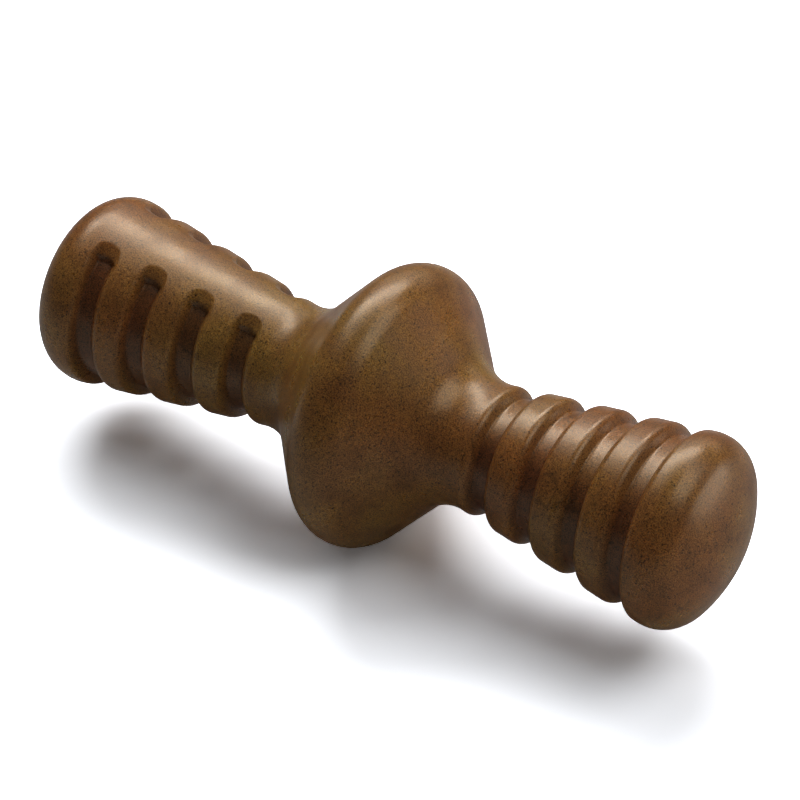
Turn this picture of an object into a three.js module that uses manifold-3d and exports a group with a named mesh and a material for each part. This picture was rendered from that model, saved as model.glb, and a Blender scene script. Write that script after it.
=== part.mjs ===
// A dog's chew toy, moulded in one piece from brown, flavoured nylon: a double-cone hub in the middle, a slim neck on
// both sides of it, and two ribbed grips that widen towards domed end knobs. Ring grooves part the ribs. On the left
// grip a smooth band runs lengthwise along the top, and the grooves stop short of it in rounded ends.
// Millimetres. The toy's axis is X, +Z is up, and the origin is the middle of the hub.

import * as THREE from "three";
import { mergeVertices } from "three/addons/utils/BufferGeometryUtils.js";
import Module from "manifold-3d";

const wasm = await Module();
wasm.setup();

// The whole toy
const LENGTH = 170;

// The hub: two cones with a round rim between them
const HUB_RADIUS = 31.8;
const HUB_RIM_ROUND = 7.9;
const HUB_FLANK_DEGREES = 49;

// The necks and the grips: cones that widen from the innermost groove to the outermost one
const NECK_FILLET = 11;
const GRIP_RADIUS_AT_NECK = 15;
const GRIP_RADIUS_AT_KNOB = 20.5;

// The end knobs, measured from the middle of the outermost groove to the tip
const KNOB_LENGTH = 18.1;
const KNOB_SHOULDER_ROUND = 8.2;
const KNOB_DOME_ROUND = 33.5;

// The grooves: a flat floor, sloping walls and eased edges
const GROOVE_COUNT = 4;
const GROOVE_PITCH = 12;
const GROOVE_DEPTH = 2.4;
const GROOVE_FLOOR_WIDTH = 3.2;
const GROOVE_WALL_WIDTH = 1.05;
const GROOVE_EDGE_WIDTH = 1.35;
const GROOVE_EDGE_DEPTH = 0.75;

// The smooth band on the left grip, between the middles of the rounded groove ends
const BAND_DEGREES = 66;

// Facets: the sides of every round, and the straight steps of each arc of the outline
const SIDES = 32;
const RIM_STEPS = 9;
const NECK_STEPS = 6;
const SHOULDER_STEPS = 5;
const DOME_STEPS = 5;
const GROOVE_END_SIDES = 16;

const NYLON_COLOUR = 0x6b4a2e;
const NYLON_ROUGHNESS = 0.45;

const QUARTER_TURN = Math.PI / 2;
const halfLength = LENGTH / 2;
const flank = THREE.MathUtils.degToRad(HUB_FLANK_DEGREES);
const bandHalf = THREE.MathUtils.degToRad(BAND_DEGREES / 2);

// Grooves are counted from the knob inwards, because the ribs are set out from the ends.
const grooveAt = (index) => halfLength - KNOB_LENGTH - index * GROOVE_PITCH;
const outerGroove = grooveAt(0);
const innerGroove = grooveAt(GROOVE_COUNT - 1);
const taper = Math.atan2(GRIP_RADIUS_AT_KNOB - GRIP_RADIUS_AT_NECK, outerGroove - innerGroove);
const gripRadius = (x) => GRIP_RADIUS_AT_NECK + (x - innerGroove) * Math.tan(taper);

// A polygon's flats lie on the true round when its corners stand this much further out.
const cornerReach = 1 / Math.cos(Math.PI / SIDES);

// Points of an arc in the plane of the outline, where x runs along the axis and y is the radius.
function arc(centre, radius, start, end, steps) {
  return new THREE.ArcCurve(centre.x, centre.y, radius, start, end, end < start).getPoints(steps);
}

// The middle facet of the rim touches the hub's radius, so the hub stands on a flat.
function rimArc() {
  const step = (2 * flank) / RIM_STEPS;
  const centre = new THREE.Vector2(0, HUB_RADIUS - HUB_RIM_ROUND * Math.cos(step / 2));
  const steps = (RIM_STEPS - 1) / 2;
  return arc(centre, HUB_RIM_ROUND, QUARTER_TURN - step / 2, QUARTER_TURN - flank, steps);
}

// The hollow arc of the neck touches the hub's flank and the grip's cone.
function neckArc(flankPoint) {
  const flankNormal = new THREE.Vector2(Math.sin(flank), Math.cos(flank));
  const gripNormal = new THREE.Vector2(-Math.sin(taper), Math.cos(taper));
  const gripPoint = new THREE.Vector2(innerGroove, GRIP_RADIUS_AT_NECK);
  const flankReach = flankNormal.dot(flankPoint) + NECK_FILLET;
  const gripReach = gripNormal.dot(gripPoint) + NECK_FILLET;
  const spread = flankNormal.cross(gripNormal);
  const centre = new THREE.Vector2(
    (flankReach * gripNormal.y - gripReach * flankNormal.y) / spread,
    (flankNormal.x * gripReach - gripNormal.x * flankReach) / spread,
  );
  return arc(centre, NECK_FILLET, -QUARTER_TURN - flank, -QUARTER_TURN + taper, NECK_STEPS);
}

// The knob's shoulder touches the grip's cone and the dome, and the dome ends on the axis.
function knobArcs() {
  const along = new THREE.Vector2(Math.cos(taper), Math.sin(taper));
  const normal = new THREE.Vector2(-along.y, along.x);
  const domeCentre = new THREE.Vector2(halfLength - KNOB_DOME_ROUND, 0);
  const conePoint = new THREE.Vector2(outerGroove, GRIP_RADIUS_AT_KNOB);
  const rise = conePoint.sub(domeCentre).dot(normal) - KNOB_SHOULDER_ROUND;
  const run = Math.sqrt((KNOB_DOME_ROUND - KNOB_SHOULDER_ROUND) ** 2 - rise ** 2);
  const shoulderCentre = domeCentre.clone().addScaledVector(normal, rise).addScaledVector(along, run);
  const meeting = Math.atan2(shoulderCentre.y - domeCentre.y, shoulderCentre.x - domeCentre.x);
  const shoulder = arc(shoulderCentre, KNOB_SHOULDER_ROUND, QUARTER_TURN + taper, meeting, SHOULDER_STEPS);
  const dome = arc(domeCentre, KNOB_DOME_ROUND, meeting, 0, DOME_STEPS).slice(1);
  return [...shoulder, ...dome];
}

// The outline from tip to tip: the right half, with its mirror image before it.
function outline() {
  const rim = rimArc();
  const right = [...rim, ...neckArc(rim.at(-1)), ...knobArcs()];
  const left = right.map((point) => new THREE.Vector2(-point.x, point.y)).reverse();
  return [...left, ...right];
}

// A closed surface turned about X from points of x and radius, with a facet at the top and at the bottom.
function turned(points) {
  const profile = points.map((point) => new THREE.Vector2(point.y * cornerReach, point.x));
  return new THREE.LatheGeometry(profile, SIDES, Math.PI / SIDES).rotateZ(-QUARTER_TURN);
}

// A groove's cutting section, from its middle outwards: distance along the grip, and height over the grip's surface.
const floorHalf = GROOVE_FLOOR_WIDTH / 2;
const mouthHalf = floorHalf + GROOVE_WALL_WIDTH + GROOVE_EDGE_WIDTH;
const grooveHalfSection = [
  new THREE.Vector2(floorHalf, -GROOVE_DEPTH),
  new THREE.Vector2(floorHalf + GROOVE_WALL_WIDTH, -GROOVE_EDGE_DEPTH),
  new THREE.Vector2(mouthHalf + GROOVE_EDGE_WIDTH, GROOVE_EDGE_DEPTH),
];

function solid(geometry) {
  geometry.deleteAttribute("normal");
  geometry.deleteAttribute("uv");
  const merged = mergeVertices(geometry);
  const corners = merged.index.array;
  const faces = [];
  for (let i = 0; i < corners.length; i += 3) {
    const [a, b, c] = corners.slice(i, i + 3);
    if (a !== b && b !== c && c !== a) faces.push(a, b, c);
  }
  return new wasm.Manifold(
    new wasm.Mesh({
      numProp: 3,
      vertProperties: merged.attributes.position.array,
      triVerts: new Uint32Array(faces),
    }),
  );
}

// A groove all the way round the grip at x, its floor level with the grip's taper.
function ringCutter(x) {
  const slope = taper * Math.sign(x);
  const middle = new THREE.Vector2(x, gripRadius(Math.abs(x)));
  const after = grooveHalfSection.map((point) => point.clone());
  const before = after.map((point) => new THREE.Vector2(-point.x, point.y)).reverse();
  const section = [...before, ...after].map((point) => point.rotateAround(new THREE.Vector2(), slope).add(middle));
  return solid(turned([...section, section[0]].reverse()));
}

// The end of a groove at an angle from straight up: the groove's half section turned about the grip's own normal.
function endCutter(x, angle) {
  const top = new THREE.Vector2(0, GROOVE_EDGE_DEPTH);
  const floor = new THREE.Vector2(0, -GROOVE_DEPTH);
  const button = new THREE.LatheGeometry([floor, ...grooveHalfSection, top], GROOVE_END_SIDES);
  button.rotateX(QUARTER_TURN).rotateY(-taper * Math.sign(x));
  button.translate(x, 0, gripRadius(Math.abs(x))).rotateX(angle);
  return solid(button);
}

// The wedge of material over the axis that a band keeps whole, out past the knobs.
function bandWedge() {
  const reach = 2 * GRIP_RADIUS_AT_KNOB;
  const shape = new THREE.Shape();
  shape.lineTo(reach * Math.sin(bandHalf), reach * Math.cos(bandHalf));
  shape.lineTo(-reach * Math.sin(bandHalf), reach * Math.cos(bandHalf));
  const wedge = new THREE.ExtrudeGeometry(shape, { depth: LENGTH, bevelEnabled: false });
  return solid(wedge.translate(0, 0, -halfLength).rotateX(QUARTER_TURN).rotateZ(QUARTER_TURN));
}

const band = bandWedge();

// A left groove: a ring without the band's wedge, with a rounded end on both sides of the band.
function slotCutter(x) {
  return ringCutter(x).subtract(band).add(endCutter(x, bandHalf)).add(endCutter(x, -bandHalf));
}

let moulding = solid(turned(outline()));
for (let index = 0; index < GROOVE_COUNT; index++) {
  moulding = moulding.subtract(slotCutter(-grooveAt(index))).subtract(ringCutter(grooveAt(index)));
}

// The moulding is parted flat across the axis at the floors of the innermost and outermost grooves.
const sections = [
  ["left_end_knob", -outerGroove],
  ["left_grip", -innerGroove],
  ["hub", innerGroove],
  ["right_grip", outerGroove],
  ["right_end_knob", LENGTH],
];

// Everything to the left of a plane across the axis.
function slabUpTo(x) {
  const across = 4 * HUB_RADIUS;
  const thickness = LENGTH + x;
  return solid(new THREE.BoxGeometry(thickness, across, across).translate(x - thickness / 2, 0, 0));
}

function geometryOf(manifold) {
  const mesh = manifold.getMesh();
  const geometry = new THREE.BufferGeometry();
  geometry.setAttribute("position", new THREE.BufferAttribute(mesh.vertProperties, mesh.numProp));
  return geometry.setIndex(new THREE.BufferAttribute(mesh.triVerts, 1));
}

const toy = new THREE.Group();
let rest = moulding;
for (const [name, end] of sections) {
  const slab = slabUpTo(end);
  const nylon = new THREE.MeshStandardMaterial({ color: NYLON_COLOUR, roughness: NYLON_ROUGHNESS, metalness: 0 });
  const mesh = new THREE.Mesh(geometryOf(rest.intersect(slab)), nylon);
  mesh.name = name;
  toy.add(mesh);
  rest = rest.subtract(slab);
}

export default toy;
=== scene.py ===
# %% [markdown]
# # A dog's chew toy in moulded nylon
# The toy is one solid injection moulding: a double-cone hub, a slim neck on both sides of it, and two
# ribbed grips that widen towards domed end knobs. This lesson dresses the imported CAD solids: it spins a
# fine surface for each of the five sections, presses the grooves into it, and gives it a speckled brown
# nylon.

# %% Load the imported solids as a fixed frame
import math

import bmesh
import bpy
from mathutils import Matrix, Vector


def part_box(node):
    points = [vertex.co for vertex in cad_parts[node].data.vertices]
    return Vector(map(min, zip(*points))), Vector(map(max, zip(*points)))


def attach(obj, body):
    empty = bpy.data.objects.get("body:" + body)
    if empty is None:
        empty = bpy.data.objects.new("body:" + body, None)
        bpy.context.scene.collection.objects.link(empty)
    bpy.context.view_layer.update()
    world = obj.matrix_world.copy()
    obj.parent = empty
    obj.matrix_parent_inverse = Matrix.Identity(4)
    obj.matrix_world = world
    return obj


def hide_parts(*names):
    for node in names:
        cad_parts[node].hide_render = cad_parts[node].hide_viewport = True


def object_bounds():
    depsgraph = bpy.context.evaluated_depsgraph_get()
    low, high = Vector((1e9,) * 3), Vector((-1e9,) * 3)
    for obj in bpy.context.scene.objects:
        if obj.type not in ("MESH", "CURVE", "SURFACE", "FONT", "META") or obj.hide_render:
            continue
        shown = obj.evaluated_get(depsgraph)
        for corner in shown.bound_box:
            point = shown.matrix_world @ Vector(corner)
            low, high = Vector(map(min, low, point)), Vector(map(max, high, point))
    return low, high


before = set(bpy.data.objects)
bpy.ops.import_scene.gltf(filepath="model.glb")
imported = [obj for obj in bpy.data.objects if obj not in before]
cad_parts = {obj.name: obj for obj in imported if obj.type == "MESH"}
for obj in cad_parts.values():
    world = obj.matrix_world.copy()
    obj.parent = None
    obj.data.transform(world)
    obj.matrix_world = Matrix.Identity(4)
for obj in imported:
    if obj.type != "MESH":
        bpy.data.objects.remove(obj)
cad_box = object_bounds()
MM = 0.001
print("CAD box in mm:", [round(side / MM, 1) for side in cad_box[1] - cad_box[0]])

# %% [markdown]
# ## The camera
# The toy points at the lens with its right end, seen from above and from some distance, so a long lens
# flattens it. A camera can be placed by eye, but an angle, a height and a distance are easier to read and
# to change. The camera looks at the middle of the hub, and a small shift puts that point a little off the
# middle of the picture.

# %% Place the camera by azimuth, elevation and distance
# Angles are in degrees, lengths in millimetres, and the shifts are shares of the picture's width.
VIEW_AZIMUTH = 34.0
VIEW_ELEVATION = 38.4
VIEW_DISTANCE = 858.5
LENS = 182.0
SENSOR = 36.0
SHIFT_RIGHT = 0.0145
SHIFT_UP = 0.0073


# Azimuth 0 is straight in front of the toy, and 90 is off its right end.
def add_facing_hub(thing, azimuth, elevation, distance):
    turn = math.radians(azimuth)
    rise = math.radians(elevation)
    away = Vector((math.sin(turn) * math.cos(rise), -math.cos(turn) * math.cos(rise), math.sin(rise)))
    thing.location = away * (distance * MM)
    thing.rotation_euler = away.to_track_quat("Z", "Y").to_euler()
    bpy.context.scene.collection.objects.link(thing)


camera_data = bpy.data.cameras.new("camera")
camera_data.lens = LENS
camera_data.sensor_width = SENSOR
camera_data.shift_x = SHIFT_RIGHT
camera_data.shift_y = SHIFT_UP
camera = bpy.data.objects.new("camera", camera_data)
add_facing_hub(camera, VIEW_AZIMUTH, VIEW_ELEVATION, VIEW_DISTANCE)
bpy.context.scene.camera = camera
print("Camera at", [round(c / MM) for c in camera.location], "mm")

# %% [markdown]
# ## The outline
# Everything but the grooves is a surface of revolution, so the shape starts as one outline of radius
# against length: the hub's rim is an arc, its flanks are straight, a hollow arc leads into the neck, the
# grip is a cone, and the knob is a shoulder arc and a dome. It could be drawn as a curve by hand, but arcs
# that are worked out to touch each other stay smooth when a size changes. Half of it is enough, because its
# other half is the mirror image.

# %% Sizes in millimetres: what the solids give, and the outline's arcs
inner_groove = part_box("hub")[1].x / MM
outer_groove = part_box("right_grip")[1].x / MM
half_length = cad_box[1].x / MM
HUB_RADIUS = 31.8
HUB_RIM_ROUND = 7.9
HUB_FLANK = math.radians(49)
NECK_FILLET = 11.0
GRIP_RADIUS_AT_NECK = 15.0
GRIP_RADIUS_AT_KNOB = 20.5
KNOB_SHOULDER_ROUND = 8.2
KNOB_DOME_ROUND = 33.5
GROOVE_COUNT = 4
groove_pitch = (outer_groove - inner_groove) / (GROOVE_COUNT - 1)
taper = math.atan2(GRIP_RADIUS_AT_KNOB - GRIP_RADIUS_AT_NECK, outer_groove - inner_groove)
print("Grooves at", [round(inner_groove + i * groove_pitch, 2) for i in range(GROOVE_COUNT)], "mm")

# %% Points of arcs and lines in the plane of length and radius
ARC_STEP = 0.5
CONE_STEP = 0.2
QUARTER_TURN = math.pi / 2


def arc(centre, radius, start, end):
    steps = math.ceil(abs(end - start) * radius / ARC_STEP)
    angles = [start + (end - start) * i / steps for i in range(steps + 1)]
    return [(centre[0] + radius * math.cos(a), centre[1] + radius * math.sin(a)) for a in angles]


# A line's points leave out its two ends, which belong to its neighbours.
def line(start, end, step):
    steps = max(1, round(math.dist(start, end) / step))
    return [tuple(a + (b - a) * i / steps for a, b in zip(start, end)) for i in range(1, steps)]


print("Points lie", ARC_STEP, "mm apart on arcs and", CONE_STEP, "mm apart on the grips")


# %% The half outline, from the hub's rim to the tip of the knob
# The hollow arc of the neck touches the hub's flank and the grip's cone.
def neck_centre(flank_point):
    flank_normal = (math.sin(HUB_FLANK), math.cos(HUB_FLANK))
    grip_normal = (-math.sin(taper), math.cos(taper))
    flank_reach = flank_normal[0] * flank_point[0] + flank_normal[1] * flank_point[1] + NECK_FILLET
    grip_reach = grip_normal[0] * inner_groove + grip_normal[1] * GRIP_RADIUS_AT_NECK + NECK_FILLET
    spread = flank_normal[0] * grip_normal[1] - flank_normal[1] * grip_normal[0]
    return (
        (flank_reach * grip_normal[1] - grip_reach * flank_normal[1]) / spread,
        (flank_normal[0] * grip_reach - grip_normal[0] * flank_reach) / spread,
    )


# The knob's shoulder touches the grip's cone and the dome, and the dome ends on the axis.
def knob_arcs():
    along = (math.cos(taper), math.sin(taper))
    normal = (-along[1], along[0])
    dome_x = half_length - KNOB_DOME_ROUND
    rise = (outer_groove - dome_x) * normal[0] + GRIP_RADIUS_AT_KNOB * normal[1] - KNOB_SHOULDER_ROUND
    run = math.sqrt((KNOB_DOME_ROUND - KNOB_SHOULDER_ROUND) ** 2 - rise ** 2)
    centre = (dome_x + rise * normal[0] + run * along[0], rise * normal[1] + run * along[1])
    meeting = math.atan2(centre[1], centre[0] - dome_x)
    shoulder = arc(centre, KNOB_SHOULDER_ROUND, QUARTER_TURN + taper, meeting)
    dome = arc((dome_x, 0), KNOB_DOME_ROUND, meeting, 0)
    return shoulder + dome[1:-1] + [(half_length, 0)]


def half_outline():
    rim = arc((0, HUB_RADIUS - HUB_RIM_ROUND), HUB_RIM_ROUND, QUARTER_TURN, QUARTER_TURN - HUB_FLANK)
    neck = arc(neck_centre(rim[-1]), NECK_FILLET, -QUARTER_TURN - HUB_FLANK, -QUARTER_TURN + taper)
    knob = knob_arcs()
    inner = (inner_groove, GRIP_RADIUS_AT_NECK)
    outer = (outer_groove, GRIP_RADIUS_AT_KNOB)
    flank = line(rim[-1], neck[0], ARC_STEP)
    before = line(neck[-1], inner, CONE_STEP) + [inner]
    grip = line(inner, outer, CONE_STEP) + [outer]
    after = line(outer, knob[0], CONE_STEP)
    return rim + flank + neck + before + grip + after + knob


right_half = half_outline()
left_half = [(-x, r) for x, r in reversed(right_half[1:])]
outline = left_half + right_half
print("Outline of", len(outline), "points")

# %% [markdown]
# ## The grooves and the band
# Four grooves cross each grip. On the right they run all the way round. On the left they stop at a smooth
# band along the top, where each begins under a round arch with a gentle apron and then drops to its floor.
# A groove has a flat floor, sloping walls and rounded rib edges, and it leans towards the knob because it
# is square to the grip's cone. Booleans could cut the grooves, but a formula for the depth at each point
# presses them into a fine mesh, keeps every edge soft and lets the arch run into the walls.

# %% Depth of a groove at a distance from its middle
GROOVE_DEPTH = 2.4
GROOVE_HALF_WIDTH = 4.2
FLOOR_ROUND = 0.6
WALL_ANGLE = math.radians(58)
EDGE_ROUND = 1.8

wall_sine = math.sin(WALL_ANGLE)
wall_drop = 1 - math.cos(WALL_ANGLE)
wall_rise = GROOVE_DEPTH - (FLOOR_ROUND + EDGE_ROUND) * wall_drop
wall_end = GROOVE_HALF_WIDTH - EDGE_ROUND * wall_sine
floor_end = wall_end - wall_rise / math.tan(WALL_ANGLE)
floor_half = floor_end - FLOOR_ROUND * wall_sine


def groove_depth(distance):
    if distance <= floor_half:
        return GROOVE_DEPTH
    if distance <= floor_end:
        run = distance - floor_half
        return GROOVE_DEPTH - FLOOR_ROUND + math.sqrt(FLOOR_ROUND ** 2 - run ** 2)
    if distance <= wall_end:
        rise = FLOOR_ROUND * wall_drop + (distance - floor_end) * math.tan(WALL_ANGLE)
        return GROOVE_DEPTH - rise
    if distance < GROOVE_HALF_WIDTH:
        run = GROOVE_HALF_WIDTH - distance
        return EDGE_ROUND - math.sqrt(EDGE_ROUND ** 2 - run ** 2)
    return 0.0


print("Half a groove's floor is", round(floor_half, 2), "mm wide, its wall rises", round(wall_rise, 2), "mm")

# %% Depth of a groove that ends at the band: a gentle apron under a round arch, then a drop to the floor
BAND_EDGE = math.radians(19.5)
APRON_LENGTH = 2.8
APRON_SLOPE = math.tan(math.radians(20))
DROP_SLOPE = math.tan(math.radians(58))
# The higher this power, the tighter the corner between the end of a groove and its walls.
CORNER_POWER = 4


def slot_depth(distance, angle, radius):
    arch = GROOVE_HALF_WIDTH - math.sqrt(max(GROOVE_HALF_WIDTH ** 2 - distance ** 2, 0))
    past_edge = (angle - BAND_EDGE) * radius - arch
    on_apron = past_edge * APRON_SLOPE
    on_drop = past_edge * DROP_SLOPE - APRON_LENGTH * (DROP_SLOPE - APRON_SLOPE)
    end_rise = GROOVE_DEPTH - min(max(on_apron, on_drop, 0), GROOVE_DEPTH)
    side_rise = GROOVE_DEPTH - groove_depth(distance)
    rise = (side_rise ** CORNER_POWER + end_rise ** CORNER_POWER) ** (1 / CORNER_POWER)
    return max(GROOVE_DEPTH - rise, 0)


print("An apron falls", round(APRON_LENGTH * APRON_SLOPE, 2), "mm before the drop")

# %% Depth straight down of a groove that leans towards the knob
# How far the groove leans depends on the depth, and the depth on the lean, so a few rounds settle both.
LEAN_ROUNDS = 4


def leaning_depth(along, radius, slot_angle):
    down = 0.0
    for _ in range(LEAN_ROUNDS):
        distance = abs(along / math.cos(taper) - down * math.sin(taper))
        depth = groove_depth(distance) if slot_angle is None else slot_depth(distance, slot_angle, radius)
        down = depth / math.cos(taper)
    return down


print("A groove's floor leans", round(GROOVE_DEPTH * math.sin(taper), 2), "mm towards the knob")


# %% Press the grooves into a spun section
def press_grooves(bm):
    for vert in bm.verts:
        x = vert.co.x / MM
        radius = math.hypot(vert.co.y, vert.co.z) / MM
        index = min(max(round((abs(x) - inner_groove) / groove_pitch), 0), GROOVE_COUNT - 1)
        along = abs(x) - (inner_groove + index * groove_pitch)
        on_axis = radius < GRIP_RADIUS_AT_NECK / 2
        if on_axis or abs(along) >= GROOVE_HALF_WIDTH:
            continue
        slot_angle = abs(math.atan2(vert.co.y, vert.co.z)) if x < 0 else None
        pressed = 1 - leaning_depth(along, radius, slot_angle) / radius
        vert.co.y *= pressed
        vert.co.z *= pressed


print("Points within", GROOVE_HALF_WIDTH, "mm of a groove's middle will be pressed in")

# %% [markdown]
# ## The five sections
# The moulding is parted flat across its axis, so each section is a stretch of the outline spun about that
# axis. Its outline starts and ends on the axis, so the flat ends that lie against the neighbours are spun
# with it and every section is a closed solid. A whole turn could be spun, but the toy is the same in front
# and behind, so half a turn is spun and pressed, and mirrored for the rest. The cuts lie where the surface
# runs on without a bend, on groove floors and across the band, so no seam shows.

# %% Spin one section, press its grooves and mirror it
HALF_TURN = math.pi
HALF_SPIN_STEPS = 180
MERGE_DISTANCE = 0.001
# Edges that bend more than this, round the flat ends, stay sharp.
CUT_EDGE = math.radians(60)


def spun_section(name, start, end):
    merge = MERGE_DISTANCE * MM
    points = [(x, r) for x, r in outline if start - MERGE_DISTANCE <= x <= end + MERGE_DISTANCE]
    if points[0][1] > 0:
        points.insert(0, (start, 0))
    if points[-1][1] > 0:
        points.append((end, 0))
    bm = bmesh.new()
    verts = [bm.verts.new((x * MM, 0, r * MM)) for x, r in points]
    edges = [bm.edges.new(pair) for pair in zip(verts, verts[1:])]
    bmesh.ops.spin(
        bm, geom=verts + edges, cent=(0, 0, 0), axis=(1, 0, 0), angle=HALF_TURN, steps=HALF_SPIN_STEPS
    )
    bmesh.ops.remove_doubles(bm, verts=bm.verts, dist=merge)
    press_grooves(bm)
    bmesh.ops.mirror(bm, geom=bm.verts[:] + bm.edges[:] + bm.faces[:], axis="Y", merge_dist=merge)
    bmesh.ops.remove_doubles(bm, verts=bm.verts, dist=merge)
    bmesh.ops.recalc_face_normals(bm, faces=bm.faces)
    for face in bm.faces:
        face.smooth = True
    for edge in bm.edges:
        edge.smooth = edge.calc_face_angle(0) < CUT_EDGE
    mesh = bpy.data.meshes.new(name)
    bm.to_mesh(mesh)
    bm.free()
    return mesh


print("A step of the spin turns", math.degrees(HALF_TURN) / HALF_SPIN_STEPS, "degrees")

# %% Make the five sections, hide the solid that each one dresses, and hang them on the root
sections = {
    "left_end_knob": (-half_length, -outer_groove),
    "left_grip": (-outer_groove, -inner_groove),
    "hub": (-inner_groove, inner_groove),
    "right_grip": (inner_groove, outer_groove),
    "right_end_knob": (outer_groove, half_length),
}
pieces = []
for name, (start, end) in sections.items():
    piece = bpy.data.objects.new("moulded_" + name, spun_section(name, start, end))
    bpy.context.scene.collection.objects.link(piece)
    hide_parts(name)
    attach(piece, "root")
    pieces.append(piece)
    print(piece.name, "has", len(piece.data.polygons), "faces")

# %% [markdown]
# ## The moulded nylon
# The toy is nylon, coloured through and mixed with ground flavouring before it was shot into the mould.
# That gives the eye a warm brown that drifts between olive and red, with darker stains, a fine grain all
# over, scattered dark grains, a few pale ones, and thin dark strokes where two fronts of melt met. The
# mould leaves a satin skin, so a highlight is broad and a little rough, and some light seeps into the
# nylon. A picture could be wrapped round the toy, but nodes that read Object coordinates leave no seam and
# run on from one section to the next.

# %% Colours from hex codes, pattern scales from millimetres, and helpers that fill and add a node


# The sRGB curve has a short straight start and then follows a power.
def linear(hex_code):
    channels = [int(hex_code[i:i + 2], 16) / 255 for i in (1, 3, 5)]
    return [c / 12.92 if c <= 0.04045 else ((c + 0.055) / 1.055) ** 2.4 for c in channels] + [1.0]


def scale_for(size):
    return 1 / (size * MM)


def set_inputs(tree, node, inputs):
    for socket, value in inputs.items():
        if isinstance(value, bpy.types.NodeSocket):
            tree.links.new(value, node.inputs[socket])
        else:
            node.inputs[socket].default_value = value


def add_node(tree, kind, inputs, **settings):
    node = tree.nodes.new(kind)
    for name, value in settings.items():
        setattr(node, name, value)
    set_inputs(tree, node, inputs)
    return node


print("A pattern of 1 mm has a scale of", round(scale_for(1.0)))

# %% Broad drift of the brown between olive and red
OLIVE_BROWN = "#805e2d"
RED_BROWN = "#805128"
DRIFT_SIZE = 28.0
DRIFT_DETAIL = 2.0
# Noise runs from 0 to 1. Below the first of these values the brown is olive, and above the second it is
# red.
OLIVE_BELOW = 0.35
RED_ABOVE = 0.65

nylon = bpy.data.materials.new("moulded_nylon")
nylon.use_nodes = True
tree = nylon.node_tree
place = add_node(tree, "ShaderNodeTexCoord", {}).outputs["Object"]
drift = add_node(
    tree, "ShaderNodeTexNoise", {"Vector": place, "Scale": scale_for(DRIFT_SIZE), "Detail": DRIFT_DETAIL}
)
redness = add_node(
    tree, "ShaderNodeMapRange", {"Value": drift.outputs[0], "From Min": OLIVE_BELOW, "From Max": RED_ABOVE}
)
drifting = add_node(
    tree, "ShaderNodeMix",
    {"Factor": redness.outputs[0], "A": linear(OLIVE_BROWN), "B": linear(RED_BROWN)},
    data_type="RGBA",
)
print("The brown drifts over about", DRIFT_SIZE, "mm")

# %% Smaller, darker stains
STAIN_BROWN = "#583517"
STAIN_SIZE = 7.0
STAIN_DETAIL = 3.0
STAIN_SHARE = 0.55
CLEAN_BELOW = 0.4
STAINED_ABOVE = 0.7

stain = add_node(
    tree, "ShaderNodeTexNoise", {"Vector": place, "Scale": scale_for(STAIN_SIZE), "Detail": STAIN_DETAIL}
)
stain_share = add_node(
    tree, "ShaderNodeMapRange",
    {"Value": stain.outputs[0], "From Min": CLEAN_BELOW, "From Max": STAINED_ABOVE, "To Max": STAIN_SHARE},
)
stained = add_node(
    tree, "ShaderNodeMix",
    {"Factor": stain_share.outputs[0], "A": drifting.outputs["Result"], "B": linear(STAIN_BROWN)},
    data_type="RGBA",
)
print("Stains are about", STAIN_SIZE, "mm across")

# %% Thin dark strokes, in patches, where fronts of melt met
STROKE_BROWN = "#2e1c0e"
STROKE_HALF_WIDTH = 0.25
STROKE_SHARE = 0.5
FLOW_SIZE = 14.0
FLOW_DETAIL = 1.0
FLOW_DISTORTION = 1.2
PATCH_SIZE = 20.0
PATCH_DETAIL = 1.0
BARE_BELOW = 0.58
STROKED_ABOVE = 0.68
# A stroke runs where the flow's noise passes its middle. Near there the noise changes by about this much
# over a distance of its own size, which turns a width in millimetres into a step of the noise.
NOISE_MIDDLE = 0.5
NOISE_SLOPE = 1.5
stroke_step = NOISE_SLOPE * STROKE_HALF_WIDTH / FLOW_SIZE

flow = add_node(
    tree, "ShaderNodeTexNoise",
    {"Vector": place, "Scale": scale_for(FLOW_SIZE), "Detail": FLOW_DETAIL, "Distortion": FLOW_DISTORTION},
)
off_middle = add_node(tree, "ShaderNodeMath", {0: flow.outputs[0], 1: NOISE_MIDDLE}, operation="SUBTRACT")
from_stroke = add_node(tree, "ShaderNodeMath", {0: off_middle.outputs[0]}, operation="ABSOLUTE")
stroke = add_node(
    tree, "ShaderNodeMapRange",
    {"Value": from_stroke.outputs[0], "From Max": stroke_step, "To Min": STROKE_SHARE, "To Max": 0.0},
)
patch = add_node(
    tree, "ShaderNodeTexNoise", {"Vector": place, "Scale": scale_for(PATCH_SIZE), "Detail": PATCH_DETAIL}
)
in_patch = add_node(
    tree, "ShaderNodeMapRange", {"Value": patch.outputs[0], "From Min": BARE_BELOW, "From Max": STROKED_ABOVE}
)
stroke_share = add_node(
    tree, "ShaderNodeMath", {0: stroke.outputs[0], 1: in_patch.outputs[0]}, operation="MULTIPLY"
)
stroked = add_node(
    tree, "ShaderNodeMix",
    {"Factor": stroke_share.outputs[0], "A": stained.outputs["Result"], "B": linear(STROKE_BROWN)},
    data_type="RGBA",
)
print("Strokes are", 2 * STROKE_HALF_WIDTH, "mm wide")

# %% Fine grain of the mix
# Ground flavouring is finer than this. Its grain is drawn about as wide as a pixel, so that it shows.
MIX_GRAIN = 0.27
MIX_DETAIL = 2.0
MIX_ROUGHNESS = 0.6
MIX_DARK = 0.1
MIX_PALE = 2.0
DARKEST_BELOW = 0.3
PALEST_ABOVE = 0.7

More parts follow.
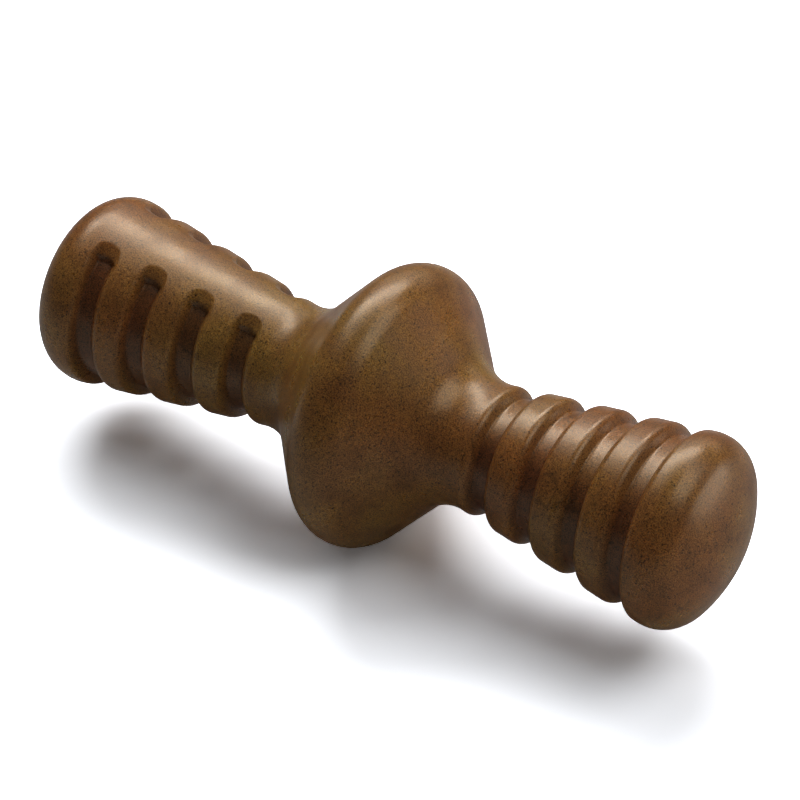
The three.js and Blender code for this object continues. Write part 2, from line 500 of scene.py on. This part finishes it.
mix_grain = add_node(
    tree, "ShaderNodeTexNoise",
    {"Vector": place, "Scale": scale_for(MIX_GRAIN), "Detail": MIX_DETAIL, "Roughness": MIX_ROUGHNESS},
)
mix_tone = add_node(
    tree, "ShaderNodeMapRange",
    {
        "Value": mix_grain.outputs[0], "From Min": DARKEST_BELOW, "From Max": PALEST_ABOVE,
        "To Min": MIX_DARK, "To Max": MIX_PALE,
    },
)
speckled = add_node(
    tree, "ShaderNodeMix", {"Factor": 1.0, "A": stroked.outputs["Result"], "B": mix_tone.outputs[0]},
    data_type="RGBA", blend_type="MULTIPLY",
)
print("The mix has a grain of", MIX_GRAIN, "mm")

# %% Scattered dark and pale grains of flavouring
# Each cell of a Voronoi pattern holds one grain of its own size, up to the radius. It fades out past its
# core.
GRAIN_CORE = 0.5
GRAINS = {
    "dark": dict(spacing=0.8, radius=0.3, share=0.9, colour="#1c1008"),
    "pale": dict(spacing=2.6, radius=0.4, share=0.5, colour="#916f49"),
}
for kind, grain in GRAINS.items():
    cells = add_node(tree, "ShaderNodeTexVoronoi", {"Vector": place, "Scale": scale_for(grain["spacing"])})
    chance = add_node(tree, "ShaderNodeSeparateColor", {"Color": cells.outputs["Color"]})
    largest = grain["radius"] / grain["spacing"]
    reach = add_node(tree, "ShaderNodeMath", {0: chance.outputs[0], 1: largest}, operation="MULTIPLY")
    core = add_node(tree, "ShaderNodeMath", {0: reach.outputs[0], 1: GRAIN_CORE}, operation="MULTIPLY")
    grain_share = add_node(
        tree, "ShaderNodeMapRange",
        {
            "Value": cells.outputs["Distance"], "From Min": core.outputs[0], "From Max": reach.outputs[0],
            "To Min": grain["share"], "To Max": 0.0,
        },
    )
    speckled = add_node(
        tree, "ShaderNodeMix",
        {"Factor": grain_share.outputs[0], "A": speckled.outputs["Result"], "B": linear(grain["colour"])},
        data_type="RGBA",
    )
    print("The largest", kind, "grains are", 2 * grain["radius"], "mm across")

# %% [markdown]
# ## Painted shade on the floors of the grooves
# On the left grip and on the sides of the right one, the floors of the grooves are painted darker and redder,
# as painted shade on top of the shade that the lights give there. On top of the right grip, where light
# falls, they are left as pale as the ribs. A mask could be painted, but how deep a point lies in a groove and
# which way it faces follow from its Object coordinates, so the painted shade fits the shape by itself.

# %% How deep a point lies below the grip's cone
# The painted shade starts this far below the grip's cone and is full at the groove's depth.
SHADE_FROM = 0.6
cone_start = GRIP_RADIUS_AT_NECK - inner_groove * math.tan(taper)

split = add_node(tree, "ShaderNodeSeparateXYZ", {"Vector": place})
along_axis = add_node(tree, "ShaderNodeMath", {0: split.outputs["X"]}, operation="ABSOLUTE").outputs[0]
across_axis = add_node(tree, "ShaderNodeVectorMath", {0: place, 1: (0.0, 1.0, 1.0)}, operation="MULTIPLY")
off_axis = add_node(
    tree, "ShaderNodeVectorMath", {0: across_axis.outputs[0]}, operation="LENGTH"
).outputs["Value"]
cone = add_node(
    tree, "ShaderNodeMath", {0: along_axis, 1: math.tan(taper), 2: cone_start * MM}, operation="MULTIPLY_ADD"
)
below_cone = add_node(tree, "ShaderNodeMath", {0: cone.outputs[0], 1: off_axis}, operation="SUBTRACT")
groove_shade_by_depth = add_node(
    tree, "ShaderNodeMapRange",
    {"Value": below_cone.outputs[0], "From Min": SHADE_FROM * MM, "From Max": GROOVE_DEPTH * MM},
)
print("The tint starts", SHADE_FROM, "mm down and is full at", GROOVE_DEPTH, "mm")

# %% Paint shade on the floors, apart from the lit top of the right grip
# Painted shade: this colour multiplies the nylon on the groove floors, on the sides where light reaches
# least.
FLOOR_PAINTED_SHADE = "#c5b5cb"
LIT_TOP_HALF = math.radians(15)
SHADED_SIDE_FROM = math.radians(50)
grooves_end = outer_groove + GROOVE_HALF_WIDTH

upright = add_node(tree, "ShaderNodeMath", {0: split.outputs["Z"], 1: off_axis}, operation="DIVIDE")
shaded_side = add_node(
    tree, "ShaderNodeMapRange",
    {
        "Value": upright.outputs[0], "To Min": 1.0, "To Max": 0.0,
        "From Min": math.cos(SHADED_SIDE_FROM), "From Max": math.cos(LIT_TOP_HALF),
    },
)
on_left = add_node(tree, "ShaderNodeMath", {0: split.outputs["X"], 1: 0.0}, operation="LESS_THAN")
shaded_side_or_left = add_node(
    tree, "ShaderNodeMath", {0: shaded_side.outputs[0], 1: on_left.outputs[0]}, operation="MAXIMUM"
)
on_grip = add_node(tree, "ShaderNodeMath", {0: along_axis, 1: grooves_end * MM}, operation="LESS_THAN")
floor_painted_shade_share = groove_shade_by_depth
for share in (shaded_side_or_left, on_grip):
    floor_painted_shade_share = add_node(
        tree, "ShaderNodeMath", {0: floor_painted_shade_share.outputs[0], 1: share.outputs[0]}, operation="MULTIPLY"
    )
nylon_colour_with_painted_shade = add_node(
    tree, "ShaderNodeMix",
    {"Factor": floor_painted_shade_share.outputs[0], "A": speckled.outputs["Result"], "B": linear(FLOOR_PAINTED_SHADE)},
    data_type="RGBA", blend_type="MULTIPLY",
)
print("The tint ends", round(grooves_end, 1), "mm from the middle of the hub")

# %% [markdown]
# ## The skin
# The mould leaves the nylon satin, with a fine relief, and a little glossier where the mix is clean than
# where it is stained. Nylon is slightly clear too, so light that enters comes out again nearby, and red
# light goes furthest. Several shaders could be mixed for this, but one Principled shader keeps gloss,
# colour and seeping light in balance.

# %% Satin skin: gloss, fine relief and light that seeps in
# Nylon bends light by an IOR of about 1.53, and its satin lies near a roughness of 0.3.
NYLON_ROUGHNESS = 0.31
ROUGHNESS_SPREAD = 0.06
SMOOTHEST_BELOW = 0.3
ROUGHEST_ABOVE = 0.7
NYLON_IOR = 1.53
NYLON_SPECULAR = 0.65
GLOSS_TINT = "#ffe6c4"
SEEP_SHARE = 0.3
SEEP_REACH = 1.3
SEEP_OF_RED_GREEN_BLUE = (1.0, 0.5, 0.2)
# The mould's texture is finer than this. Its relief is drawn coarse enough to show.
SKIN_GRAIN = 0.4
SKIN_DETAIL = 2.0
SKIN_RELIEF = 0.03

roughness = add_node(
    tree, "ShaderNodeMapRange",
    {
        "Value": stain.outputs[0], "From Min": SMOOTHEST_BELOW, "From Max": ROUGHEST_ABOVE,
        "To Min": NYLON_ROUGHNESS - ROUGHNESS_SPREAD, "To Max": NYLON_ROUGHNESS + ROUGHNESS_SPREAD,
    },
)
skin = add_node(
    tree, "ShaderNodeTexNoise", {"Vector": place, "Scale": scale_for(SKIN_GRAIN), "Detail": SKIN_DETAIL}
)
relief = add_node(
    tree, "ShaderNodeBump", {"Height": skin.outputs[0], "Strength": 1.0, "Distance": SKIN_RELIEF * MM}
)
set_inputs(tree, tree.nodes["Principled BSDF"], {
    "Base Color": nylon_colour_with_painted_shade.outputs["Result"],
    "Roughness": roughness.outputs[0],
    "Normal": relief.outputs[0],
    "IOR": NYLON_IOR,
    "Specular IOR Level": NYLON_SPECULAR,
    "Specular Tint": linear(GLOSS_TINT),
    "Subsurface Weight": SEEP_SHARE,
    "Subsurface Scale": SEEP_REACH * MM,
    "Subsurface Radius": SEEP_OF_RED_GREEN_BLUE,
})
for piece in pieces:
    piece.data.materials.append(nylon)
print("Nylon has", len(tree.nodes), "nodes")

# %% [markdown]
# ## The paper
# The toy stands on the rim of its hub on white paper that fades into a white background. Paper lit to pure
# white would throw too much light at the toy, so what it looks like depends on who looks: Light Path tells
# a ray of the camera from a ray that brings light to the toy. To the toy it is plain paper, in the toy's
# gloss it is dim, and to the camera it is lifted to white, with the shadow left in. Past the shadow the
# camera sees flat white.

# %% A sheet under the hub
FLOOR_SIZE = 8000.0

floor_mesh = bpy.data.meshes.new("floor")
floor_bm = bmesh.new()
bmesh.ops.create_grid(floor_bm, x_segments=1, y_segments=1, size=FLOOR_SIZE * MM / 2)
bmesh.ops.translate(floor_bm, vec=(0, 0, -HUB_RADIUS * MM), verts=floor_bm.verts)
floor_bm.to_mesh(floor_mesh)
floor_bm.free()
floor = bpy.data.objects.new("floor", floor_mesh)
bpy.context.scene.collection.objects.link(floor)
print("The sheet lies at", -HUB_RADIUS, "mm")

# %% Paper that shows its own colour to each kind of ray
PAPER_TO_THE_TOY = "#dcdcdc"
PAPER_IN_GLOSS = "#959595"
PAPER_TO_THE_CAMERA = "#f7faff"
PAPER_LIFT = 2.36

paper = bpy.data.materials.new("white_paper")
paper.use_nodes = True
paper_tree = paper.node_tree
paper_tree.nodes.remove(paper_tree.nodes["Principled BSDF"])
ray = add_node(paper_tree, "ShaderNodeLightPath", {})
lifted = [PAPER_LIFT * channel for channel in linear(PAPER_TO_THE_CAMERA)]
paper_colour = linear(PAPER_TO_THE_TOY)
for kind, colour in (
    ("Is Glossy Ray", linear(PAPER_IN_GLOSS)),
    ("Is Transmission Ray", linear(PAPER_IN_GLOSS)),
    ("Is Camera Ray", lifted),
):
    paper_colour = add_node(
        paper_tree, "ShaderNodeMix", {"Factor": ray.outputs[kind], "A": paper_colour, "B": colour},
        data_type="RGBA",
    ).outputs["Result"]
print("To the camera the paper is", [round(channel, 2) for channel in lifted[:3]])

# %% Flat white past the shadow
SHADOW_REACH = 250.0
WHITE_BEYOND = 400.0
WHITE = linear("#ffffff")
WHITE_STRENGTH = 1.0

near_paper = add_node(paper_tree, "ShaderNodeBsdfDiffuse", {"Color": paper_colour})
far_paper = add_node(paper_tree, "ShaderNodeEmission", {"Color": WHITE, "Strength": WHITE_STRENGTH})
ground = add_node(paper_tree, "ShaderNodeTexCoord", {}).outputs["Object"]
from_toy = add_node(paper_tree, "ShaderNodeVectorMath", {0: ground}, operation="LENGTH")
far = add_node(
    paper_tree, "ShaderNodeMapRange",
    {"Value": from_toy.outputs["Value"], "From Min": SHADOW_REACH * MM, "From Max": WHITE_BEYOND * MM},
)
seen_far = add_node(
    paper_tree, "ShaderNodeMath", {0: far.outputs[0], 1: ray.outputs["Is Camera Ray"]}, operation="MULTIPLY"
)
paper_surface = add_node(
    paper_tree, "ShaderNodeMixShader",
    {0: seen_far.outputs[0], 1: near_paper.outputs[0], 2: far_paper.outputs[0]},
)
set_inputs(paper_tree, paper_tree.nodes["Material Output"], {"Surface": paper_surface.outputs[0]})
floor_mesh.materials.append(paper)
print("The paper is flat white", WHITE_BEYOND, "mm from the toy")

# %% [markdown]
# ## The lights
# A softbox hangs high behind the toy, straight across from the camera, and a wider, dimmer tent hangs
# beside it on the left, so the shadow falls towards the camera and its edge is soft. A panel high on the
# right lights the right knob, a low sweep behind rims the ribs, and a low reflector on the right fills the
# knob's dome. The front stays dark, apart from what the paper throws back. A picture of a studio could
# light the toy too, but area lights can be moved and dimmed one by one. The surroundings are nearly black
# to the toy, and white to the camera as the far paper is.

# %% Five area lights
# Angles are in degrees, lengths in millimetres and powers in watts.
LIGHT_DISTANCE = 700.0
LIGHTS = {
    "softbox": dict(azimuth=214, elevation=52, width=700, height=260, power=3.5),
    "tent": dict(azimuth=232, elevation=62, width=750, height=500, power=1.6),
    "right_panel": dict(azimuth=106, elevation=58, width=550, height=450, power=1.7),
    "sweep": dict(azimuth=195, elevation=24, width=900, height=200, power=0.4),
    "reflector": dict(azimuth=120, elevation=7, width=500, height=260, power=1.0),
}


def add_light(name, azimuth, elevation, width, height, power):
    data = bpy.data.lights.new(name, "AREA")
    data.shape = "RECTANGLE"
    data.size = width * MM
    data.size_y = height * MM
    data.energy = power
    add_facing_hub(bpy.data.objects.new(name, data), azimuth, elevation, LIGHT_DISTANCE)


for name, light in LIGHTS.items():
    add_light(name, **light)
print("Lights:", ", ".join(LIGHTS))

# %% Surroundings that are dark to the toy and white to the camera
SURROUNDINGS = 0.02
SURROUNDINGS_IN_GLOSS = 0.04

world = bpy.data.worlds.new("surroundings")
bpy.context.scene.world = world
world.use_nodes = True
world_tree = world.node_tree
sight = add_node(world_tree, "ShaderNodeLightPath", {})
strength = SURROUNDINGS
for kind, seen in (
    ("Is Glossy Ray", SURROUNDINGS_IN_GLOSS),
    ("Is Transmission Ray", WHITE_STRENGTH),
    ("Is Camera Ray", WHITE_STRENGTH),
):
    strength = add_node(
        world_tree, "ShaderNodeMix", {"Factor": sight.outputs[kind], "A": strength, "B": seen}
    ).outputs["Result"]
set_inputs(world_tree, world_tree.nodes["Background"], {"Color": WHITE, "Strength": strength})
bpy.context.scene.view_settings.view_transform = "Standard"
print("Surroundings have", len(world_tree.nodes), "nodes")
